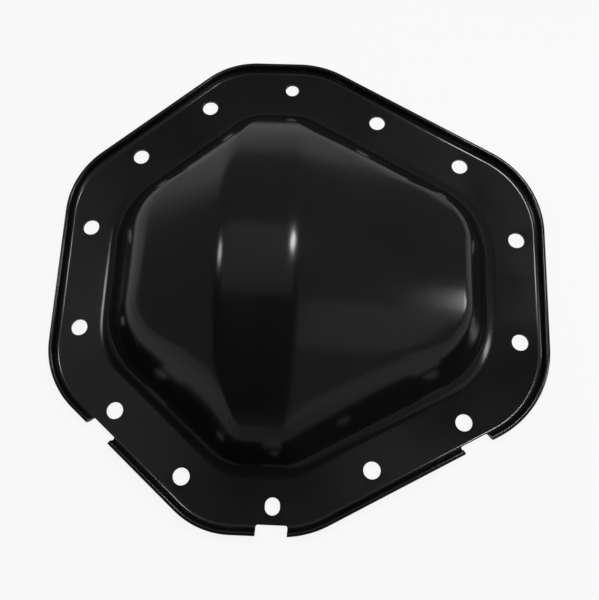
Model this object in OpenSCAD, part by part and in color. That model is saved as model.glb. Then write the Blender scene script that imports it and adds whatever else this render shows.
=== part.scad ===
/* [Sheet] */
// thickness of the pressed sheet
sheet_thickness = 3; // [2.4:0.2:3.6]
// gasket face up to the top of the crown
cover_depth = 84.5; // [80:0.5:90]

/* [Flange outline] */
// axle line out to the top edge and to the bottom edge
half_height = 168.6; // [164:0.2:174]
// upright bolt line out to the right edge
right_reach = 180; // [175:0.5:188]
// upright bolt line out to the left edge
left_reach = 156; // [152:0.5:162]
// centre square out to the slanted edges on the right
right_slope_reach = 158.2; // [155:0.2:162]
// centre square out to the slanted edges on the left
left_slope_reach = 158.2; // [155:0.2:162]
// turn from the axle line to the way the right slanted edges face
right_slope_angle = 61.1; // [59:0.1:63]
// turn from the axle line to the way the left slanted edges face
left_slope_angle = 49.3; // [47.5:0.1:51]
// radius of the corners at the right edge
right_corner_radius = 68; // [60:1:76]
// radius of the corners at the left edge
left_corner_radius = 60; // [52:1:66]
// radius of the corners right of the top and bottom edges
upper_right_corner_radius = 66; // [56:1:74]
// radius of the corners left of the top and bottom edges
upper_left_corner_radius = 56; // [48:1:62]

/* [Rim] */
// height of the rim's edge above the flange's upper face
rim_height = 6.2; // [5:0.2:9]
// inside radius of the bend up to the rim
rim_bend_radius = 4; // [2.5:0.5:4.5]

/* [Rim notches] */
// width of each notch along the edge
notch_width = 20.5; // [14:0.5:26]
// radius of the notches' inner corners
notch_corner_radius = 1.5; // [0.5:0.25:3]
// depth of the two slanted notches from the outer edge
slanted_notch_depth = 5.4; // [4:0.2:7]
// depth of the bottom notch from the outer edge
bottom_notch_depth = 7; // [5:0.2:8.5]
// shift of the left notch along its edge, past the bolt hole beside it
left_notch_shift = 3.5; // [0:0.5:8]

/* [Bolt holes] */
// diameter of the twelve plain bolt holes
bolt_hole_diameter = 11.4; // [10:0.2:13]
// diameter of the round locating hole on the top edge
locating_hole_diameter = 9.8; // [9:0.2:11]
// extra length of the locating slot on the bottom edge
locating_slot_extra = 1.5; // [0.5:0.25:4]
// top hole's centre in from the top edge, and the slot's from the bottom
top_hole_margin = 18.6; // [17:0.2:21]
// hole centres in from the edges on the right
right_hole_margin = 18.2; // [17:0.2:20]
// hole centres in from the edges on the left
left_hole_margin = 17.7; // [16.5:0.2:19.5]
// axle line up to the bolt hole on each side edge
side_hole_rise = 36.6; // [30:0.2:42]
// inner bolt hole on the right slanted edge, from the centre square back towards the top
right_inner_hole = 4.9; // [0:0.5:14]
// outer bolt hole on the right slanted edge, from the centre square on towards the side
right_outer_hole = 63.4; // [55:0.5:70]
// inner bolt hole on the left slanted edge, from the centre square back towards the top
left_inner_hole = 41.5; // [36:0.5:46]
// outer bolt hole on the left slanted edge, from the centre square on towards the side
left_outer_hole = 21.4; // [14:0.5:28]

/* [Dome foot] */
// outer edge in to the dome at the top and bottom
top_flange_width = 35.1; // [33:0.5:38]
// outer edge in to the dome on the right
right_flange_width = 33.4; // [31:0.5:36]
// outer edge in to the dome on the left
left_flange_width = 31; // [29:0.5:34]
// outer edge in to the dome on the slanted sides
slanted_flange_width = 35.4; // [33:0.5:38]
// fillet from the flange up into the wall
foot_fillet_radius = 12; // [8:0.5:16]
// extra fillet radius round the two broad corners on each side
corner_fillet_extra = 3; // [0:0.5:6]
// plan radius of the wall's foot at the side corners
foot_side_radius = 60; // [50:1:70]
// plan radius of the wall's foot at the top and bottom corners
foot_top_radius = 33; // [28:1:36]

/* [Wall and crown] */
// steepness of the wall on the right
right_wall_angle = 70; // [66:1:74]
// steepness of the wall on the left
left_wall_angle = 65; // [62:1:70]
// steepness of the wall at the top and bottom, towards which the slanted sides lean
top_wall_angle = 63; // [60:1:68]
// rounding from the wall over into the crown
shoulder_blend = 14; // [8:0.5:18]
// ring gear bulge's centre, to the left of the upright bolt line
bulge_offset = 12; // [6:0.5:18]
// width of the bulge between its two creases
bulge_width = 42.6; // [34:0.5:52]
// height above the flange at which the bulge's arc would meet the wall's foot
bulge_foot_rise = 6; // [3:0.5:10]
// fall of the crown from the bulge down to the right
right_fall_angle = 17.5; // [12:0.5:21]
// fall of the crown from the bulge down to the left
left_fall_angle = 29; // [22:0.5:32]
// rounding of each crease beside the bulge
crease_blend = 5; // [3:0.5:8]

/* [Hidden] */

round_steps = 64;
side_steps = 3;
side_corner_steps = 9;
slant_steps = 5;
top_corner_steps = 5;
top_steps = 2;
bend_steps = 4;
fillet_steps = 5;
wall_steps = 7;
slope_steps = 3;
cut_clearance = 1;
cut_reach = 20;
least_blend = 0.1;
top_wall_band = 17;
side_wall_band_extra = 7;
bulge_mesh_rise = 96;
spine_gap = 7;
spine_spread = 3;

corner_start = side_steps;
corner_end = corner_start + side_corner_steps;
slant_end = corner_end + slant_steps;
top_corner_end = slant_end + top_corner_steps;
quarter = top_corner_end + top_steps;
columns = 4 * quarter;
bulge_corner = slant_end + floor(top_corner_steps / 2);
spine_corner = bulge_corner - spine_spread;

bolt_line_x = (left_reach - right_reach) / 2;
bulge_x = bolt_line_x - bulge_offset;
bulge_half = bulge_width / 2;
function wall_angle(side, a) = blend(top_wall_angle, side > 0 ? right_wall_angle : left_wall_angle,
    pow(cos(a), 2));
function foot_shift(side, a) = foot_fillet_radius * tan(wall_angle(side, a) / 2);

foot_half_height = half_height - top_flange_width - foot_shift(1, 90);
bulge_drop = cover_depth - sheet_thickness - bulge_foot_rise;
bulge_radius = (foot_half_height * foot_half_height + bulge_drop * bulge_drop) / (2 * bulge_drop);

// one side's outline: reach, slanted reach, slanted angle, top, side radius, top radius
function side_outline(side, inset_side, inset_slant, inset_top, side_radius, top_radius) =
    let (angle = side > 0 ? right_slope_angle : left_slope_angle)
    [(side > 0 ? right_reach : left_reach) + side * bulge_offset - inset_side,
     (side > 0 ? right_slope_reach : left_slope_reach)
         + side * bulge_offset * cos(angle) - inset_slant,
     angle, half_height - inset_top, side_radius, top_radius];

function foot_outline(side, flange_width, slope_angle) =
    side_outline(side, flange_width + foot_shift(side, 0),
        slanted_flange_width + foot_shift(side, slope_angle),
        top_flange_width + foot_shift(side, 90), foot_side_radius, foot_top_radius);

right_edge = side_outline(1, 0, 0, 0, right_corner_radius, upper_right_corner_radius);
left_edge = side_outline(-1, 0, 0, 0, left_corner_radius, upper_left_corner_radius);
right_foot = foot_outline(1, right_flange_width, right_slope_angle);
left_foot = foot_outline(-1, left_flange_width, left_slope_angle);

function heading(angle) = [cos(angle), sin(angle)];
function blend(from, to, part) = from + (to - from) * part;
function side_corner(s) =
    [s[0] - s[4], (s[1] - s[4] - (s[0] - s[4]) * cos(s[2])) / sin(s[2])];
function top_corner(s) =
    [(s[1] - s[5] - (s[3] - s[5]) * sin(s[2])) / cos(s[2]), s[3] - s[5]];

function facing(k, s) =
    k <= corner_start ? 0
    : k <= corner_end ? s[2] * (k - corner_start) / side_corner_steps
    : k <= slant_end ? s[2]
    : k <= top_corner_end ? blend(s[2], 90, (k - slant_end) / top_corner_steps)
    : 90;

function outline_point(k, s) =
    k <= corner_start ? [s[0], side_corner(s)[1] * k / side_steps]
    : k <= corner_end ? side_corner(s) + s[4] * heading(facing(k, s))
    : k <= slant_end ? blend(side_corner(s) + s[4] * heading(s[2]),
                             top_corner(s) + s[5] * heading(s[2]), (k - corner_end) / slant_steps)
    : k <= top_corner_end ? top_corner(s) + s[5] * heading(facing(k, s))
    : [top_corner(s)[0] * (quarter - k) / top_steps, s[3]];

function to_cover(p, side, up) = [bulge_x + side * p[0], up * p[1]];

function arc_drop(y) = bulge_radius - arc_side(y);
function arc_side(y) = sqrt(max(1, bulge_radius * bulge_radius - y * y));
function hinge(t) =
    t <= -crease_blend ? 0 : t >= crease_blend ? t
    : (t + crease_blend) * (t + crease_blend) / (4 * crease_blend);
function hinge_slope(t) =
    t <= -crease_blend ? 0 : t >= crease_blend ? 1 : (t + crease_blend) / (2 * crease_blend);

function crown(p) = let (x = p[0] - bulge_x)
    cover_depth - arc_drop(p[1]) - tan(right_fall_angle) * hinge(x - bulge_half)
        - tan(left_fall_angle) * hinge(-x - bulge_half);
function crown_slope(p) = let (x = p[0] - bulge_x)
    [tan(left_fall_angle) * hinge_slope(-x - bulge_half)
         - tan(right_fall_angle) * hinge_slope(x - bulge_half),
     -p[1] / arc_side(p[1])];

// column: side, up, step, outer edge, facing, wall foot, wall angle, fillet radius, blend,
// fillet end, wall band
function column(j) =
    let (q = floor(j / quarter), side = q == 0 || q == 3 ? 1 : -1, up = q < 2 ? 1 : -1,
         k = q == 0 ? j : q == 1 ? 2 * quarter - j : q == 2 ? j - 2 * quarter : columns - j,
         edge = side > 0 ? right_edge : left_edge, foot = side > 0 ? right_foot : left_foot,
         a = facing(k, edge), out = [side * cos(a), up * sin(a)],
         wall = wall_angle(side, a),
         in_corner = k > corner_start && k < corner_end ? (k - corner_start) / side_corner_steps : 0,
         fillet = foot_fillet_radius + corner_fillet_extra * pow(sin(180 * in_corner), 2),
         base = to_cover(outline_point(k, foot), side, up),
         start = fillet * (sin(wall) - tan(wall / 2)),
         band = top_wall_band + side_wall_band_extra * pow(cos(a), 2),
         room = crown(base - start * out) - sheet_thickness - tan(wall) * start)
    [side, up, k, to_cover(outline_point(k, edge), side, up), out, base, wall, fillet,
     max(least_blend, min(shoulder_blend, room)), start, band];

// a point of the upper face and the way the sheet faces there
function flange_point(c, along, rise, lean) =
    [[c[3][0] + along * c[4][0], c[3][1] + along * c[4][1], rise],
     [-c[4][0] * sin(lean), -c[4][1] * sin(lean), cos(lean)]];
function fillet_point(c, turn) =
    let (along = c[7] * (tan(c[6] / 2) - sin(turn)))
    [[c[5][0] + along * c[4][0], c[5][1] + along * c[4][1],
      sheet_thickness + c[7] * (1 - cos(turn))],
     [c[4][0] * sin(turn), c[4][1] * sin(turn), cos(turn)]];
function dome_point(c, p) =
    let (wall = sheet_thickness + tan(c[6]) * (c[5] - p) * c[4], top = crown(p),
         mix = max(0, min(1, (1 + (top - wall) / c[8]) / 2)),
         slope = -mix * tan(c[6]) * c[4] + (1 - mix) * crown_slope(p),
         face = [-slope[0], -slope[1], 1])
    [[p[0], p[1], mix * wall + (1 - mix) * top - c[8] * mix * (1 - mix)], face / norm(face)];

function bulge_frame(c, grow) =
    let (part = min(1, c[2] / bulge_corner), over = max(0, c[2] - bulge_corner),
         half = bulge_half + grow)
    [bulge_x + c[0] * half * (1 - over / (quarter - bulge_corner)),
     c[1] * (bulge_mesh_rise + grow) * part];
function spine_height(k) =
    k <= spine_corner ? bulge_mesh_rise * k / bulge_corner
    : blend(bulge_mesh_rise * spine_corner / bulge_corner, bulge_mesh_rise - spine_gap,
            (k - spine_corner) / (quarter - spine_corner));

cols = [for (j = [0:columns - 1]) column(j)];
bend_in = rim_bend_radius + sheet_thickness;
crease_grow = [crease_blend, crease_blend / 3, -crease_blend / 3, -crease_blend];

rings = concat(
    [[for (c = cols) flange_point(c, -sheet_thickness, sheet_thickness + rim_height, 90)]],
    [for (i = [0:bend_steps]) let (turn = 90 * (1 - i / bend_steps))
        [for (c = cols) flange_point(c, rim_bend_radius * sin(turn) - bend_in,
            sheet_thickness + rim_bend_radius * (1 - cos(turn)), turn)]],
    [for (i = [0:fillet_steps]) [for (c = cols) fillet_point(c, c[6] * i / fillet_steps)]],
    [for (i = [1:wall_steps]) [for (c = cols)
        dome_point(c, c[5] - blend(c[9], c[10], i / wall_steps) * c[4])]],
    [for (i = [1:slope_steps]) [for (c = cols)
        dome_point(c, blend(c[5] - c[10] * c[4], bulge_frame(c, crease_blend),
            i / (slope_steps + 1)))]],
    [for (g = crease_grow) [for (c = cols) dome_point(c, bulge_frame(c, g))]]);

spine = [for (m = [0:2 * quarter]) let (up = m >= quarter ? 1 : -1, k = abs(m - quarter),
         c = cols[up > 0 ? k : (columns - k) % columns])
    dome_point(c, [bulge_x, up * spine_height(k)])];

ring_count = len(rings);
spine_start = ring_count * columns;
under_start = spine_start + len(spine);
upper = concat([for (ring = rings) each ring], spine);
points = concat([for (v = upper) v[0]], [for (v = upper) v[0] - sheet_thickness * v[1]]);

function at(r, j) = r * columns + j % columns;
function spine_at(j) = spine_start
    + (j <= quarter ? quarter + j : j <= 3 * quarter ? 3 * quarter - j : j - 3 * quarter);
function split(a, b, c, d, even) = even ? [[a, b, c], [a, c, d]] : [[b, c, d], [b, d, a]];
function under(face) = [for (i = [2:-1:0]) under_start + face[i]];

upper_faces = concat(
    [for (r = [0:ring_count - 2]) for (j = [0:columns - 1])
        each split(at(r, j), at(r + 1, j), at(r + 1, j + 1), at(r, j + 1),
                   floor(j / quarter) % 2 == 0)],
    [for (j = [0:columns - 1])
        each split(at(ring_count - 1, j), spine_at(j), spine_at(j + 1), at(ring_count - 1, j + 1),
                   floor(j / quarter) % 2 == 0)]);
edge_faces = [for (j = [0:columns - 1])
    each [[at(0, j), at(0, j + 1), under_start + at(0, j + 1)],
          [at(0, j), under_start + at(0, j + 1), under_start + at(0, j)]]];

module pressing() {
    polyhedron(points = points,
        faces = concat(upper_faces, [for (f = upper_faces) under(f)], edge_faces), convexity = 10);
}

// steps to a place on a slanted edge: in from the edge, and along it towards the side
function on_slant(side, margin, along) =
    let (a = side > 0 ? right_slope_angle : left_slope_angle,
         reach = (side > 0 ? right_slope_reach : left_slope_reach) - margin)
    [bolt_line_x + side * (reach * cos(a) + along * sin(a)), reach * sin(a) - along * cos(a)];

module drill(diameter) {
    translate([0, 0, -cut_clearance])
        cylinder(h = sheet_thickness + 2 * cut_clearance, d = diameter, $fn = round_steps);
}

module hole_pair(x, y) {
    for (up = [-1, 1]) translate([x, up * y, 0]) drill(bolt_hole_diameter);
}

module slanted_holes(side, margin, inner, outer) {
    for (along = [inner, outer]) {
        spot = on_slant(side, margin, along);
        hole_pair(spot[0], spot[1]);
    }
}

module bolt_holes() {
    hole_pair(bolt_line_x + right_reach - right_hole_margin, side_hole_rise);
    hole_pair(bolt_line_x - left_reach + left_hole_margin, side_hole_rise);
    slanted_holes(1, right_hole_margin, -right_inner_hole, right_outer_hole);
    slanted_holes(-1, left_hole_margin, -left_inner_hole, left_outer_hole);
}

module locating_holes() {
    rise = half_height - top_hole_margin;
    translate([bolt_line_x, rise, 0]) drill(locating_hole_diameter);
    for (end = [-1, 1])
        translate([bolt_line_x, end * locating_slot_extra / 2 - rise, 0])
            drill(locating_hole_diameter);
    translate([bolt_line_x - locating_hole_diameter / 2, -rise - locating_slot_extra / 2,
               -cut_clearance])
        cube([locating_hole_diameter, locating_slot_extra, sheet_thickness + 2 * cut_clearance]);
}

module notch(depth) {
    tall = sheet_thickness + rim_height + 2 * cut_clearance;
    inner = notch_width - 2 * notch_corner_radius;
    translate([0, 0, -cut_clearance]) {
        translate([notch_corner_radius - depth, -notch_width / 2, 0])
            cube([depth - notch_corner_radius + cut_reach, notch_width, tall]);
        translate([-depth, -inner / 2, 0]) cube([depth + cut_reach, inner, tall]);
        for (side = [-1, 1])
            translate([notch_corner_radius - depth, side * inner / 2, 0])
                cylinder(h = tall, r = notch_corner_radius, $fn = round_steps);
    }
}

module slanted_notch(side, along) {
    spot = on_slant(side, 0, along);
    translate([spot[0], -spot[1], 0])
        rotate(side > 0 ? -right_slope_angle : left_slope_angle - 180)
            notch(slanted_notch_depth);
}

module rim_notches() {
    translate([bolt_line_x, -half_height, 0]) rotate(-90) notch(bottom_notch_depth);
    slanted_notch(1, right_outer_hole);
    slanted_notch(-1, left_outer_hole - left_notch_shift);
}

module cover() {
    color([0.03, 0.03, 0.033])
        difference() {
            pressing();
            bolt_holes();
            locating_holes();
            rim_notches();
        }
}

cover();
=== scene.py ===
import math

import bpy
import numpy as np
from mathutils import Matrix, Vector


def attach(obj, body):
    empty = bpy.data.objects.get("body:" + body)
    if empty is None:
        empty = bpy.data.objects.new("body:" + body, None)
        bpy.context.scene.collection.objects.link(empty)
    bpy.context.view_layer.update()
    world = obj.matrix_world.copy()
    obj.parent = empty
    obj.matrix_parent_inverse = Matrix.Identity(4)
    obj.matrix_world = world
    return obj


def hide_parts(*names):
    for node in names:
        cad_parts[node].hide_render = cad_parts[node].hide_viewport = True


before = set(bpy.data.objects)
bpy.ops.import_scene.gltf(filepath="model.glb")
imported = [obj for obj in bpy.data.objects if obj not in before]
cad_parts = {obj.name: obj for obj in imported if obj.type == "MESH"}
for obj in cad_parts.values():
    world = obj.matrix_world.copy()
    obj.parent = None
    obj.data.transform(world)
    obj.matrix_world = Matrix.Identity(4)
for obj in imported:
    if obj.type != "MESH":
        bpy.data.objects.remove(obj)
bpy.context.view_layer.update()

MM = 0.001

# Sizes of the pressing in millimetres and degrees, as in the part's source.
# A pair is the right-hand side, then the left.
SHEET = 3.0
DEPTH = 84.5
HALF_HEIGHT = 168.6
REACH = (180.0, 156.0)
SLOPE_REACH = (158.2, 158.2)
SLOPE_ANGLE = (61.1, 49.3)
EDGE_CORNER = (68.0, 60.0)
EDGE_TOP_CORNER = (66.0, 56.0)
RIM_HEIGHT = 6.2
RIM_BEND = 4.0
RIM_EDGE_ROUND = 1.4
SIDE_FLANGE = (33.4, 31.0)
SLANTED_FLANGE = 35.4
TOP_FLANGE = 35.1
FOOT_FILLET = 12.0
CORNER_FILLET_EXTRA = 3.0
FOOT_CORNER = 60.0
FOOT_TOP_CORNER = 33.0
WALL_ANGLE = (70.0, 65.0)
TOP_WALL_ANGLE = 63.0
SHOULDER_BLEND = 14.0
BULGE_OFFSET = 12.0
BULGE_WIDTH = 42.6
BULGE_FOOT_RISE = 6.0
FALL = (17.5, 29.0)
CREASE_BLEND = 5.0

# Holes and notches, in millimetres.
BOLT_HOLE = 11.4
LOCATING_HOLE = 9.8
SLOT_EXTRA = 1.5
HOLE_MARGIN = (18.2, 17.7)
TOP_HOLE_MARGIN = 18.6
SIDE_HOLE_RISE = 36.6
SLANTED_HOLES = ((-4.9, 63.4), (-41.5, 21.4))
NOTCH_WIDTH = 20.5
NOTCH_CORNER = 1.5
SLANTED_NOTCH_DEPTH = 5.4
BOTTOM_NOTCH_DEPTH = 7.0
LEFT_NOTCH_SHIFT = 3.5
NOTCH_PUNCH_LENGTH = 24.0
EDGE_BREAK = 0.35

# Steps round one quarter of the outline, and how finely each is divided.
SIDE_END, CORNER_END, SLANT_END, TOP_CORNER_END, QUARTER = 3, 12, 17, 22, 24
FINE = 4
WALL_BAND, SIDE_BAND_EXTRA = 17.0, 7.0
BULGE_CORNER, BULGE_MESH_RISE, SPINE_CORNER, SPINE_GAP = 15, 78.0, 12, 7.0

# Rings of the upper face over the rim's bend, the foot, the wall, the crown and the bulge.
BEND_RINGS, FOOT_RINGS, WALL_RINGS, CROWN_RINGS, CREASE_RINGS, BULGE_RINGS = 10, 13, 27, 14, 11, 5

# Steps round a punch's corner, and the angle in radians past which an edge is sharp.
PUNCH_CORNER_STEPS = 15
SHARP_EDGE = 0.52

# The camera that saw the bolt holes as the photograph shows them, in metres and degrees.
CAMERA_PLACE = (0.01559, -0.15888, 0.51842)
CAMERA_TURN = (15.9334, 1.0878, 2.3098)
CAMERA_LENS, CAMERA_SENSOR = 46.8, 36.0
DOME_MIDDLE = (0, 0, 0.05)

BOLT_LINE_X = (REACH[1] - REACH[0]) / 2
BULGE_X = BOLT_LINE_X - BULGE_OFFSET


def wall_angle(side, angle):
    """The wall's steepness where the outline faces at the angle."""
    steep = TOP_WALL_ANGLE + (WALL_ANGLE[side] - TOP_WALL_ANGLE) * np.cos(angle) ** 2
    return np.radians(steep)


def foot_shift(side, angle):
    """How far in from the flat flange's end the straight wall would meet it."""
    return FOOT_FILLET * math.tan(wall_angle(side, angle) / 2)


def bulge_radius():
    half = HALF_HEIGHT - TOP_FLANGE - foot_shift(0, math.pi / 2)
    drop = DEPTH - SHEET - BULGE_FOOT_RISE
    return (half * half + drop * drop) / (2 * drop)


BULGE_RADIUS = bulge_radius()


def heading(angle):
    return np.stack([np.cos(angle), np.sin(angle)], -1)


def side_outline(side, inset_side, inset_slant, inset_top, corner, top_corner):
    """One side's outline, about the bulge's centre: reaches, slanted angle and corner radii."""
    sign, angle = (1, -1)[side], math.radians(SLOPE_ANGLE[side])
    return {"reach": REACH[side] + sign * BULGE_OFFSET - inset_side,
            "slant": SLOPE_REACH[side] + sign * BULGE_OFFSET * math.cos(angle) - inset_slant,
            "angle": angle, "top": HALF_HEIGHT - inset_top,
            "corner": corner, "top_corner": top_corner}


def edge_outline(side):
    return side_outline(side, 0, 0, 0, EDGE_CORNER[side], EDGE_TOP_CORNER[side])


def foot_outline(side):
    slant = math.radians(SLOPE_ANGLE[side])
    return side_outline(side, SIDE_FLANGE[side] + foot_shift(side, 0),
                        SLANTED_FLANGE + foot_shift(side, slant),
                        TOP_FLANGE + foot_shift(side, math.pi / 2), FOOT_CORNER, FOOT_TOP_CORNER)


def facing(k, s):
    return np.interp(k, [SIDE_END, CORNER_END, SLANT_END, TOP_CORNER_END],
                     [0, s["angle"], s["angle"], math.pi / 2])


def outline_points(k, s):
    """Points of one side's outline at the steps k, and the way each faces."""
    turn, angle = facing(k, s), s["angle"]
    x = s["reach"] - s["corner"]
    corner = np.array([x, (s["slant"] - s["corner"] - x * math.cos(angle)) / math.sin(angle)])
    y = s["top"] - s["top_corner"]
    top = np.array([(s["slant"] - s["top_corner"] - y * math.sin(angle)) / math.cos(angle), y])
    start = corner + s["corner"] * heading(angle)
    end = top + s["top_corner"] * heading(angle)
    along = ((k - CORNER_END) / (SLANT_END - CORNER_END))[:, None]
    side = np.stack([np.full_like(k, s["reach"]), corner[1] * k / SIDE_END], -1)
    flat = np.stack([top[0] * (QUARTER - k) / (QUARTER - TOP_CORNER_END),
                     np.full_like(k, s["top"])], -1)
    limits = [k <= SIDE_END, k <= CORNER_END, k <= SLANT_END, k <= TOP_CORNER_END]
    return np.select([limit[:, None] for limit in limits],
                     [side, corner + s["corner"] * heading(turn), start + (end - start) * along,
                      top + s["top_corner"] * heading(turn)], flat), turn


def hinge(t):
    """Nothing before a crease and the distance past it, with a rounded turn between."""
    bent = (t + CREASE_BLEND) ** 2 / (4 * CREASE_BLEND)
    return np.where(t <= -CREASE_BLEND, 0, np.where(t >= CREASE_BLEND, t, bent))


def hinge_slope(t):
    return np.clip((t + CREASE_BLEND) / (2 * CREASE_BLEND), 0, 1)


def crown(p):
    """Height and slope of the bulge and the two sides that fall away from it."""
    x, y = p[:, 0] - BULGE_X, p[:, 1]
    across = np.sqrt(np.maximum(1, BULGE_RADIUS ** 2 - y ** 2))
    right, left = (math.tan(math.radians(fall)) for fall in FALL)
    half = BULGE_WIDTH / 2
    height = (DEPTH - BULGE_RADIUS + across - right * hinge(x - half) - left * hinge(-x - half))
    slope = np.stack([left * hinge_slope(-x - half) - right * hinge_slope(x - half),
                      -y / across], -1)
    return height, slope


class Columns:
    """The lines that run from the rim's edge up over the dome, once round the cover."""

    def __init__(self):
        step = np.arange(4 * QUARTER * FINE)
        quarter = step // (QUARTER * FINE)
        turn = step / FINE
        self.side = np.where((quarter == 0) | (quarter == 3), 1.0, -1.0)
        self.up = np.where(quarter < 2, 1.0, -1.0)
        self.k = np.select([quarter == 0, quarter == 1, quarter == 2],
                           [turn, 2 * QUARTER - turn, turn - 2 * QUARTER], 4 * QUARTER - turn)
        signs = np.stack([self.side, self.up], -1)
        centre = np.array([BULGE_X, 0.0])
        edges = [outline_points(self.k, edge_outline(side)) for side in (0, 1)]
        feet = [outline_points(self.k, foot_outline(side)) for side in (0, 1)]
        right = self.side > 0
        angle = np.where(right, edges[0][1], edges[1][1])
        self.out = signs * heading(angle)
        self.edge = centre + signs * np.where(right[:, None], edges[0][0], edges[1][0])
        self.foot = centre + signs * np.where(right[:, None], feet[0][0], feet[1][0])
        self.wall = np.where(right, wall_angle(0, angle), wall_angle(1, angle))
        corner = np.clip((self.k - SIDE_END) / (CORNER_END - SIDE_END), 0, 1)
        self.fillet = FOOT_FILLET + CORNER_FILLET_EXTRA * np.sin(math.pi * corner) ** 2
        self.start = self.fillet * (np.sin(self.wall) - np.tan(self.wall / 2))
        room = (crown(self.foot - self.start[:, None] * self.out)[0] - SHEET
                - np.tan(self.wall) * self.start)
        self.blend = np.maximum(0.1, np.minimum(SHOULDER_BLEND, room))
        self.band = WALL_BAND + SIDE_BAND_EXTRA * np.cos(angle) ** 2

    def flange(self, along, rise, lean):
        """A ring of the rim or the flange, and the way the sheet faces there."""
        points = np.column_stack([self.edge + along * self.out, np.full(len(self.k), rise)])
        faces = np.column_stack([-self.out * math.sin(lean),
                                 np.full(len(self.k), math.cos(lean))])
        return points, faces

    def fillet_ring(self, part):
        """A ring round the foot of the dome, from the flange (0) to the wall (1)."""
        turn = self.wall * part
        along = self.fillet * (np.tan(self.wall / 2) - np.sin(turn))
        points = np.column_stack([self.foot + along[:, None] * self.out,
                                  SHEET + self.fillet * (1 - np.cos(turn))])
        return points, np.column_stack([self.out * np.sin(turn)[:, None], np.cos(turn)])

    def dome(self, p):
        """The dome over the places p: the wall, blended over into the crown."""
        steep = np.tan(self.wall)
        wall = SHEET + steep * ((self.foot - p) * self.out).sum(1)
        top, slope = crown(p)
        mix = np.clip((1 + (top - wall) / self.blend) / 2, 0, 1)
        height = mix * wall + (1 - mix) * top - self.blend * mix * (1 - mix)
        slope = (-(mix * steep)[:, None] * self.out + (1 - mix)[:, None] * slope)
        faces = np.column_stack([-slope, np.ones(len(mix))])
        return (np.column_stack([p, height]),
                faces / np.linalg.norm(faces, axis=1, keepdims=True))

    def bulge_frame(self, grow):
        """The mesh's frame round the bulge, on its creases when grow is nothing."""
        part = np.minimum(1, self.k / BULGE_CORNER)
        over = np.maximum(0, self.k - BULGE_CORNER) / (QUARTER - BULGE_CORNER)
        return np.stack([BULGE_X + self.side * (BULGE_WIDTH / 2 + grow) * (1 - over),
                         self.up * (BULGE_MESH_RISE + grow) * part], -1)

    def spine(self):
        """Where the lines end, along the middle of the bulge."""
        low = BULGE_MESH_RISE * SPINE_CORNER / BULGE_CORNER
        rise = np.where(self.k <= SPINE_CORNER, BULGE_MESH_RISE * self.k / BULGE_CORNER,
                        low + (BULGE_MESH_RISE - SPINE_GAP - low) * (self.k - SPINE_CORNER)
                        / (QUARTER - SPINE_CORNER))
        return np.stack([np.full_like(rise, BULGE_X), self.up * rise], -1)


def upper_rings(c):
    """Rings of the upper face, from the rim's edge in to the bulge's spine."""
    bend_in = RIM_BEND + SHEET
    rings = [c.flange(-SHEET, SHEET + RIM_HEIGHT - RIM_EDGE_ROUND, math.pi / 2)]
    for turn in np.linspace(math.pi / 2, 0, BEND_RINGS):
        rings.append(c.flange(RIM_BEND * math.sin(turn) - bend_in,
                              SHEET + RIM_BEND * (1 - math.cos(turn)), turn))
    rings += [c.fillet_ring(part) for part in np.linspace(0, 1, FOOT_RINGS)]
    out = c.out
    for part in np.linspace(0, 1, WALL_RINGS)[1:]:
        reach = (c.start + (c.band - c.start) * part)[:, None]
        rings.append(c.dome(c.foot - reach * out))
    band, frame_line = c.foot - c.band[:, None] * out, c.bulge_frame(CREASE_BLEND)
    for part in np.linspace(0, 1, CROWN_RINGS)[1:-1]:
        rings.append(c.dome(band + (frame_line - band) * part))
    rings += [c.dome(c.bulge_frame(grow))
              for grow in np.linspace(CREASE_BLEND, -CREASE_BLEND, CREASE_RINGS)]
    inner, spine = c.bulge_frame(-CREASE_BLEND), c.spine()
    rings += [c.dome(inner + (spine - inner) * part)
              for part in np.linspace(0, 1, BULGE_RINGS)[1:-1]]
    return rings


def rim_edge_rings(c):
    """The rounded edge of the sheet, from the rim's outer face over to its inner one."""
    rings, top = [], SHEET + RIM_HEIGHT - RIM_EDGE_ROUND
    for centre, turns in ((-RIM_EDGE_ROUND, (22.5, 45, 67.5, 90)),
                          (RIM_EDGE_ROUND - SHEET, (90, 112.5, 135, 157.5))):
        for turn in np.radians(turns):
            rings.append(c.flange(centre + RIM_EDGE_ROUND * math.cos(turn),
                                  top + RIM_EDGE_ROUND * math.sin(turn), 0)[0])
    return rings


def spine_index(column):
    """The place along the spine where a column ends, from the bottom end up."""
    whole = QUARTER * FINE
    return np.where(column <= whole, whole + column,
                    np.where(column <= 3 * whole, 3 * whole - column, column - 3 * whole))


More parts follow.
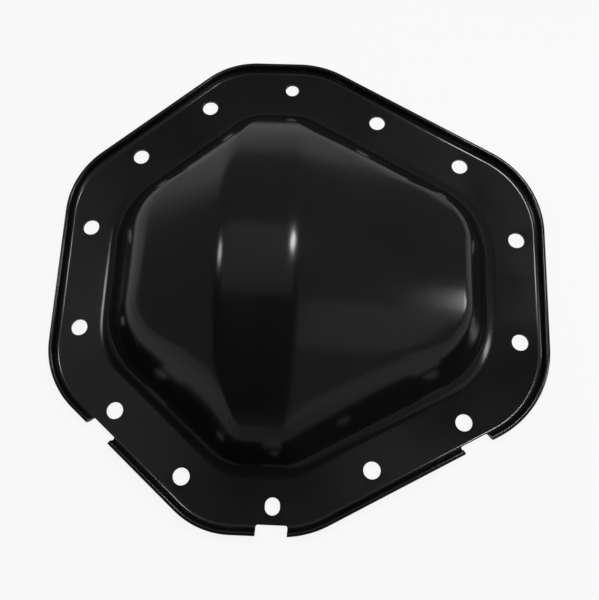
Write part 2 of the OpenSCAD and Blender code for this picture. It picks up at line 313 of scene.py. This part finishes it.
def pressed_sheet():
    """The whole pressing as one closed sheet, before it is punched."""
    c = Columns()
    upper = upper_rings(c)
    spine_points, spine_faces = c.dome(c.spine())
    count, whole = len(c.k), QUARTER * FINE
    order = np.empty(2 * whole + 1, dtype=int)
    order[spine_index(np.arange(count))] = np.arange(count)
    spine_points, spine_faces = spine_points[order], spine_faces[order]
    under = [points - SHEET * faces for points, faces in reversed(upper)]
    rings = under + rim_edge_rings(c) + [points for points, faces in upper]
    points = np.vstack(rings + [spine_points - SHEET * spine_faces, spine_points]) * MM
    column = np.arange(count)
    after = (column + 1) % count
    quads = [np.stack([r * count + column, (r + 1) * count + column,
                       (r + 1) * count + after, r * count + after], -1)
             for r in range(len(rings) - 1)]
    under_spine = len(rings) * count
    over_spine = under_spine + len(order)
    last = (len(rings) - 1) * count
    quads.append(np.stack([last + column, over_spine + spine_index(column),
                           over_spine + spine_index(after), last + after], -1))
    quads.append(np.stack([under_spine + spine_index(column), column, after,
                           under_spine + spine_index(after)], -1))
    faces = [[int(v) for v in dict.fromkeys(face)] for face in np.vstack(quads).tolist()]
    mesh = bpy.data.meshes.new("pressed_cover")
    mesh.from_pydata(points.tolist(), [], faces)
    mesh.shade_smooth()
    mesh.validate()
    return mesh


def on_slant(side, margin, along):
    """A place on an upper slanted edge: in from the edge, and along it towards the side."""
    angle = math.radians(SLOPE_ANGLE[side])
    reach = SLOPE_REACH[side] - margin
    return (BOLT_LINE_X + (1, -1)[side] * (reach * math.cos(angle) + along * math.sin(angle)),
            reach * math.sin(angle) - along * math.cos(angle))


def bolt_places():
    """The six bolt holes above the axle line; the tree mirrors them below it."""
    places = [(BOLT_LINE_X + REACH[0] - HOLE_MARGIN[0], SIDE_HOLE_RISE, 0),
              (BOLT_LINE_X - REACH[1] + HOLE_MARGIN[1], SIDE_HOLE_RISE, 0)]
    for side in (0, 1):
        places += [(*on_slant(side, HOLE_MARGIN[side], along), 0) for along in SLANTED_HOLES[side]]
    return places


def notch_places():
    """Centres of the notch punches on the lower edges, with each punch's turn."""
    beyond = NOTCH_PUNCH_LENGTH / 2
    places = [(BOLT_LINE_X, -HALF_HEIGHT - beyond + BOTTOM_NOTCH_DEPTH, -math.pi / 2)]
    for side, along in ((0, SLANTED_HOLES[0][1]), (1, SLANTED_HOLES[1][1] - LEFT_NOTCH_SHIFT)):
        x, y = on_slant(side, SLANTED_NOTCH_DEPTH - beyond, along)
        angle = math.radians(SLOPE_ANGLE[side])
        places.append((x, -y, -angle if side == 0 else angle - math.pi))
    return places


def places_object(name, places):
    mesh = bpy.data.meshes.new(name)
    mesh.from_pydata([(x * MM, y * MM, 0) for x, y, turn in places], [], [])
    turns = mesh.attributes.new("turn", "FLOAT", "POINT")
    turns.data.foreach_set("value", [turn for x, y, turn in places])
    made = bpy.data.objects.new(name, mesh)
    bpy.context.scene.collection.objects.link(made)
    return made


class Tree:
    """A Geometry Nodes tree under construction."""

    def __init__(self, name):
        self.tree = bpy.data.node_groups.new(name, "GeometryNodeTree")
        self.ends = {}

    def socket(self, name, kind, value=None, out=False):
        made = self.tree.interface.new_socket(
            name, in_out="OUTPUT" if out else "INPUT", socket_type="NodeSocket" + kind)
        if value is not None:
            made.default_value = value
        return made

    def node(self, kind, sockets=None, **settings):
        made = self.tree.nodes.new(kind)
        for name, value in settings.items():
            setattr(made, name, value)
        for name, value in (sockets or {}).items():
            for one in value if isinstance(value, list) else [value]:
                if isinstance(one, bpy.types.NodeSocket):
                    self.tree.links.new(one, made.inputs[name])
                else:
                    made.inputs[name].default_value = one
        return made

    def maths(self, operation, a, b=0.0):
        return self.node("ShaderNodeMath", {0: a, 1: b}, operation=operation).outputs[0]


def punch_tree():
    """A punch: a rounded rectangle carried through the sheet, flared to break both edges."""
    t = Tree("punch")
    for name, value in (("Width", 0.01), ("Length", 0.01), ("Corner radius", 0.005),
                        ("Stock height", 0.003), ("Edge break", 0.0003)):
        t.socket(name, "Float", value)
    t.socket("Punch", "Geometry", out=True)
    size = t.node("NodeGroupInput").outputs
    reach, levels = 0.002, 4
    low, rise = size["Edge break"], t.maths("SUBTRACT", size["Stock height"], size["Edge break"])
    top = t.maths("ADD", size["Stock height"], reach)
    path = t.node("GeometryNodeCurvePrimitiveLine")
    steps = t.node("GeometryNodeResampleCurve", {"Curve": path.outputs[0], "Count": levels})
    index = t.node("GeometryNodeInputIndex").outputs[0]
    level = t.node("GeometryNodeIndexSwitch", data_type="FLOAT")
    while len(level.index_switch_items) < levels:
        level.index_switch_items.new()
    t.tree.links.new(index, level.inputs[0])
    level.inputs[1].default_value = -reach
    for spot, value in ((2, low), (3, rise), (4, top)):
        t.tree.links.new(value, level.inputs[spot])
    lifted = t.node("GeometryNodeSetPosition", {
        "Geometry": steps.outputs[0],
        "Position": t.node("ShaderNodeCombineXYZ", {"Z": level.outputs[0]}).outputs[0]})
    end = t.maths("COMPARE", index, 1.5)
    end.node.inputs[2].default_value = 1.0
    flare = t.maths("DIVIDE", t.maths("ADD", size["Edge break"], reach),
                    t.maths("MULTIPLY", size["Width"], 0.5))
    scale = t.maths("ADD", 1.0, t.maths("MULTIPLY", t.maths("SUBTRACT", 1.0, end), flare))
    outline = t.node("GeometryNodeCurvePrimitiveQuadrilateral",
                     {"Width": size["Width"], "Height": size["Length"]}, mode="RECTANGLE")
    rounded = t.node("GeometryNodeFilletCurve", {
        "Curve": outline.outputs[0], "Radius": size["Corner radius"],
        "Count": PUNCH_CORNER_STEPS}, mode="POLY")
    body = t.node("GeometryNodeCurveToMesh", {
        "Curve": lifted.outputs[0], "Profile Curve": rounded.outputs[0], "Scale": scale,
        "Fill Caps": True})
    t.node("NodeGroupOutput", {"Punch": body.outputs[0]})
    return t.tree


def punched_tree(punch, paint):
    """The pressing with its bolt holes, locating holes and rim notches punched out."""
    t = Tree("punched_cover")
    t.socket("Pressing", "Geometry")
    for name in ("Bolt places", "Round locating place", "Slot place", "Notch places"):
        t.socket(name, "Object")
    for name, value in (("Bolt hole", BOLT_HOLE), ("Locating hole", LOCATING_HOLE),
                        ("Slot length", LOCATING_HOLE + SLOT_EXTRA),
                        ("Notch width", NOTCH_WIDTH), ("Notch corner", NOTCH_CORNER),
                        ("Notch punch length", NOTCH_PUNCH_LENGTH), ("Sheet", SHEET),
                        ("Rim top", SHEET + RIM_HEIGHT), ("Edge break", EDGE_BREAK)):
        t.socket(name, "Float", value * MM)
    t.socket("Cover", "Geometry", out=True)
    given = t.node("NodeGroupInput").outputs
    turn = t.node("GeometryNodeInputNamedAttribute", {"Name": "turn"}, data_type="FLOAT")
    spin = t.node("ShaderNodeCombineXYZ", {"Z": turn.outputs[0]})

    def punches(places, width, length, radius, stock, mirrored=False):
        spots = t.node("GeometryNodeObjectInfo", {"Object": given[places]}).outputs["Geometry"]
        if mirrored:
            below = t.node("GeometryNodeTransform", {"Geometry": spots, "Scale": (1, -1, 1)})
            spots = t.node("GeometryNodeJoinGeometry",
                           {"Geometry": [spots, below.outputs[0]]}).outputs[0]
        tool = t.node("GeometryNodeGroup", node_tree=punch)
        for name, value in (("Width", width), ("Length", length), ("Corner radius", radius),
                            ("Stock height", stock), ("Edge break", given["Edge break"])):
            t.tree.links.new(value, tool.inputs[name])
        return t.node("GeometryNodeInstanceOnPoints", {
            "Points": spots, "Instance": tool.outputs[0], "Rotation": spin.outputs[0]}).outputs[0]

    half = {name: t.maths("MULTIPLY", given[name], 0.5) for name in ("Bolt hole", "Locating hole")}
    tools = t.node("GeometryNodeJoinGeometry", {"Geometry": [
        punches("Bolt places", given["Bolt hole"], given["Bolt hole"], half["Bolt hole"],
                given["Sheet"], mirrored=True),
        punches("Round locating place", given["Locating hole"], given["Locating hole"],
                half["Locating hole"], given["Sheet"]),
        punches("Slot place", given["Locating hole"], given["Slot length"],
                half["Locating hole"], given["Sheet"]),
        punches("Notch places", given["Notch punch length"], given["Notch width"],
                given["Notch corner"], given["Rim top"])]})
    solid = t.node("GeometryNodeRealizeInstances", {"Geometry": tools.outputs[0]})
    cut = t.node("GeometryNodeMeshBoolean", {"Mesh 1": given["Pressing"],
                                             "Mesh 2": solid.outputs[0]},
                 operation="DIFFERENCE", solver="EXACT")
    smooth = t.node("GeometryNodeSetShadeSmooth", {"Geometry": cut.outputs[0]}, domain="FACE")
    angle = t.node("GeometryNodeInputMeshEdgeAngle").outputs["Unsigned Angle"]
    sharp = t.node("GeometryNodeSetShadeSmooth", {
        "Geometry": smooth.outputs[0], "Selection": t.maths("GREATER_THAN", angle, SHARP_EDGE),
        "Shade Smooth": False}, domain="EDGE")
    plain = t.node("GeometryNodeRealizeInstances", {"Geometry": sharp.outputs[0]})
    painted = t.node("GeometryNodeSetMaterial", {"Geometry": plain.outputs[0], "Material": paint})
    t.node("NodeGroupOutput", {"Cover": painted.outputs[0]})
    return t.tree


def set_input(modifier, name, value):
    """Sets a modifier's input by the socket's identifier."""
    for item in modifier.node_group.interface.items_tree:
        if item.item_type == "SOCKET" and item.in_out == "INPUT" and item.name == name:
            modifier[item.identifier] = value


def punched_cover(paint):
    """The finished pressing as a plain mesh."""
    blank = bpy.data.objects.new("blank", pressed_sheet())
    bpy.context.scene.collection.objects.link(blank)
    helpers = {"Bolt places": places_object("bolt_places", bolt_places()),
               "Round locating place": places_object(
                   "round_place", [(BOLT_LINE_X, HALF_HEIGHT - TOP_HOLE_MARGIN, 0)]),
               "Slot place": places_object(
                   "slot_place", [(BOLT_LINE_X, TOP_HOLE_MARGIN - HALF_HEIGHT, 0)]),
               "Notch places": places_object("notch_places", notch_places())}
    modifier = blank.modifiers.new("punched", "NODES")
    modifier.node_group = punched_tree(punch_tree(), paint)
    for name, value in helpers.items():
        set_input(modifier, name, value)
    graph = bpy.context.evaluated_depsgraph_get()
    mesh = bpy.data.meshes.new_from_object(blank.evaluated_get(graph))
    mesh.name = "cover_shell"
    blank.modifiers.remove(modifier)
    for helper in (blank, *helpers.values()):
        bpy.data.objects.remove(helper)
    shell = bpy.data.objects.new("cover_shell", mesh)
    bpy.context.scene.collection.objects.link(shell)
    return shell


class Shader:
    """A material's or the world's nodes under construction."""

    def __init__(self, owner):
        owner.use_nodes = True
        self.tree = owner.node_tree
        self.tree.nodes.clear()

    def node(self, kind, sockets=None, **settings):
        made = self.tree.nodes.new(kind)
        for name, value in settings.items():
            setattr(made, name, value)
        for name, value in (sockets or {}).items():
            if isinstance(value, bpy.types.NodeSocket):
                self.tree.links.new(value, made.inputs[name])
            else:
                made.inputs[name].default_value = value
        return made

    def maths(self, operation, a, b=0.0, clamp=False):
        return self.node("ShaderNodeMath", {0: a, 1: b}, operation=operation,
                         use_clamp=clamp).outputs[0]

    def span(self, value, low, high, to_low, to_high):
        return self.node("ShaderNodeMapRange", {
            "Value": value, "From Min": low, "From Max": high,
            "To Min": to_low, "To Max": to_high}).outputs[0]

    def tint(self, factor, a, b):
        return self.node("ShaderNodeMix", {0: factor, 6: a, 7: b}, data_type="RGBA").outputs[2]


def gloss_black_paint():
    """Gloss black paint on pressed steel, with slight orange peel, soft waves and dust."""
    made = bpy.data.materials.new("gloss_black_paint")
    s = Shader(made)
    place = s.node("ShaderNodeTexCoord").outputs["Object"]

    def noise(scale, detail=2.0, roughness=0.5):
        return s.node("ShaderNodeTexNoise", {
            "Vector": place, "Scale": scale, "Detail": detail,
            "Roughness": roughness}).outputs["Fac"]

    cloud = noise(22.0, 3.0)
    fine = noise(900.0, 2.0)
    colour = s.tint(s.span(cloud, 0.3, 0.7, 0.0, 1.0),
                    (0.0046, 0.0047, 0.0046, 1), (0.0064, 0.0064, 0.0060, 1))
    speck = s.node("ShaderNodeTexVoronoi", {"Vector": place, "Scale": 260.0}).outputs["Distance"]
    dust = s.maths("MULTIPLY", s.span(speck, 0.05, 0.09, 1.0, 0.0),
                   s.span(noise(60.0), 0.55, 0.7, 0.0, 1.0))
    colour = s.tint(dust, colour, (0.03, 0.03, 0.028, 1))
    rough = s.maths("ADD", s.span(cloud, 0.25, 0.75, 0.13, 0.2), s.maths("MULTIPLY", fine, 0.03))
    peel = s.node("ShaderNodeBump", {"Strength": 0.05, "Distance": 0.0002,
                                     "Height": noise(420.0, 2.0)})
    waves = s.node("ShaderNodeBump", {"Strength": 0.12, "Distance": 0.0006,
                                      "Height": noise(34.0, 1.0),
                                      "Normal": peel.outputs[0]})
    shader = s.node("ShaderNodeBsdfPrincipled", {
        "Base Color": colour, "Roughness": rough, "Normal": waves.outputs[0], "IOR": 1.5})
    s.node("ShaderNodeOutputMaterial", {"Surface": shader.outputs[0]})
    return made


def photographers_floor():
    """Paper that is white to the camera and much dimmer in reflections, with a soft shadow. In
    reflections its brightness is painted light: darkest in front, paler behind and to the sides.
    """
    made = bpy.data.materials.new("white_paper")
    s = Shader(made)
    path = s.node("ShaderNodeLightPath").outputs
    mirrored = s.maths("MAXIMUM", path["Is Glossy Ray"], path["Is Transmission Ray"])
    seen = s.maths("MAXIMUM", path["Is Camera Ray"], mirrored)
    place = s.node("ShaderNodeTexCoord").outputs["Object"]
    x, y, _ = s.node("ShaderNodeSeparateXYZ", {0: place}).outputs
    # Painted light: in reflections the paper glows darkest in front and paler behind and to the
    # sides.
    aside = s.maths("ABSOLUTE", x)
    behind = s.maths("MULTIPLY", s.span(y, -0.22, 0.05, 0.13, 0.4),
                     s.span(aside, 0.05, 0.25, 1.0, 1.3))
    painted_reflection_glow = s.maths("MAXIMUM", behind, s.span(aside, 0.06, 0.2, 0.13, 0.30))
    glow = s.maths("ADD", path["Is Camera Ray"], s.maths("MULTIPLY", mirrored, painted_reflection_glow))
    grain = s.node("ShaderNodeTexNoise", {"Vector": place, "Scale": 300.0}).outputs["Fac"]
    shade = s.tint(grain, (0.83, 0.83, 0.83, 1), (0.87, 0.87, 0.87, 1))
    paper = s.node("ShaderNodeBsdfDiffuse", {"Color": shade})
    light = s.node("ShaderNodeEmission", {"Color": (1, 1, 1, 1), "Strength": glow})
    mixed = s.node("ShaderNodeMixShader", {
        0: s.maths("MULTIPLY", seen, 0.88), 1: paper.outputs[0], 2: light.outputs[0]})
    s.node("ShaderNodeOutputMaterial", {"Surface": mixed.outputs[0]})
    return made


def add_floor():
    size = 4.0
    mesh = bpy.data.meshes.new("floor")
    mesh.from_pydata([(-size, -size, 0), (size, -size, 0), (size, size, 0), (-size, size, 0)], [],
                     [(0, 1, 2, 3)])
    mesh.materials.append(photographers_floor())
    floor = bpy.data.objects.new("floor", mesh)
    floor.location.z = -0.0004
    bpy.context.scene.collection.objects.link(floor)


def add_camera():
    data = bpy.data.cameras.new("camera")
    data.lens, data.sensor_width, data.sensor_fit = CAMERA_LENS, CAMERA_SENSOR, "AUTO"
    data.clip_start, data.clip_end = 0.01, 50.0
    camera = bpy.data.objects.new("camera", data)
    camera.location = CAMERA_PLACE
    camera.rotation_euler = [math.radians(v) for v in CAMERA_TURN]
    bpy.context.scene.collection.objects.link(camera)
    bpy.context.scene.camera = camera


def add_softbox(name, place, aim, size, radiance, mirrored=True):
    """An area lamp of a given brightness per unit of its face."""
    data = bpy.data.lights.new(name, "AREA")
    data.shape, data.size, data.size_y = "RECTANGLE", size[0], size[1]
    face = size[0] * size[1]
    data.energy = radiance * math.pi * face
    lamp = bpy.data.objects.new(name, data)
    lamp.location = place
    lamp.rotation_euler = (Vector(aim) - Vector(place)).to_track_quat("-Z", "Y").to_euler()
    lamp.visible_glossy = mirrored
    bpy.context.scene.collection.objects.link(lamp)


def add_world():
    """White to the camera; in reflections a dim tent, paler low down and darkest in front."""
    world = bpy.data.worlds.new("studio")
    bpy.context.scene.world = world
    s = Shader(world)
    path = s.node("ShaderNodeLightPath").outputs
    way = s.node("ShaderNodeSeparateXYZ", {0: s.node("ShaderNodeTexCoord").outputs["Generated"]})
    x, y, z = way.outputs
    above = s.maths("MAXIMUM", z, 0.02)
    across, back = s.maths("DIVIDE", x, above), s.maths("DIVIDE", y, above)
    open_side = s.span(back, 0.75, -0.1, 0.0, 0.85)
    near_middle = s.span(s.maths("ABSOLUTE", s.maths("ADD", across, 0.55)), 1.25, 0.95, 0.0, 1.0)
    walls = s.maths("SUBTRACT", 1.0, s.maths("MULTIPLY", open_side, near_middle))
    tent = s.maths("MULTIPLY", walls, s.span(x, -0.6, 0.6, 0.14, 0.18))
    aside = s.span(s.maths("ABSOLUTE", x), 0.1, 0.6, 1.0, 1.7)
    low = s.maths("MULTIPLY", s.maths("MULTIPLY", s.span(z, 0.22, 0.04, 0.0, 1.0), aside),
                  s.span(y, -0.8, 0.4, 0.08, 0.26))
    level = s.maths("ADD", tent, low)
    room = s.node("ShaderNodeBackground", {"Color": (1, 1, 1, 1), "Strength": level})
    white = s.node("ShaderNodeBackground", {"Color": (1, 1, 1, 1), "Strength": 1.0})
    mixed = s.node("ShaderNodeMixShader", {0: path["Is Camera Ray"], 1: room.outputs[0],
                                           2: white.outputs[0]})
    s.node("ShaderNodeOutputWorld", {"Surface": mixed.outputs[0]})


bpy.context.scene.view_settings.view_transform = "Standard"
add_camera()
add_floor()
add_world()
add_softbox("ceiling", (-0.09, 0.10, 0.56), (-0.09, 0.10, 0), (0.48, 0.40), 0.22)
add_softbox("right_panel", (0.46, -0.28, 0.56), (0.46, -0.28, 0), (0.30, 0.34), 0.22)
add_softbox("left_lamp", (-0.51, 0.165, 0.60), DOME_MIDDLE, (0.13, 0.13), 10.0)
add_softbox("right_high_lamp", (0.135, 0.21, 0.62), DOME_MIDDLE, (0.08, 0.10), 27.0)
add_softbox("right_low_lamp", (0.70, -0.015, 0.45), DOME_MIDDLE, (0.12, 0.30), 8.5)
add_softbox("fill", (0.0, 0.0, 1.6), (0, 0, 0), (2.0, 2.0), 0.7, mirrored=False)

cover = punched_cover(gloss_black_paint())
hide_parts("cover")
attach(cover, "root")
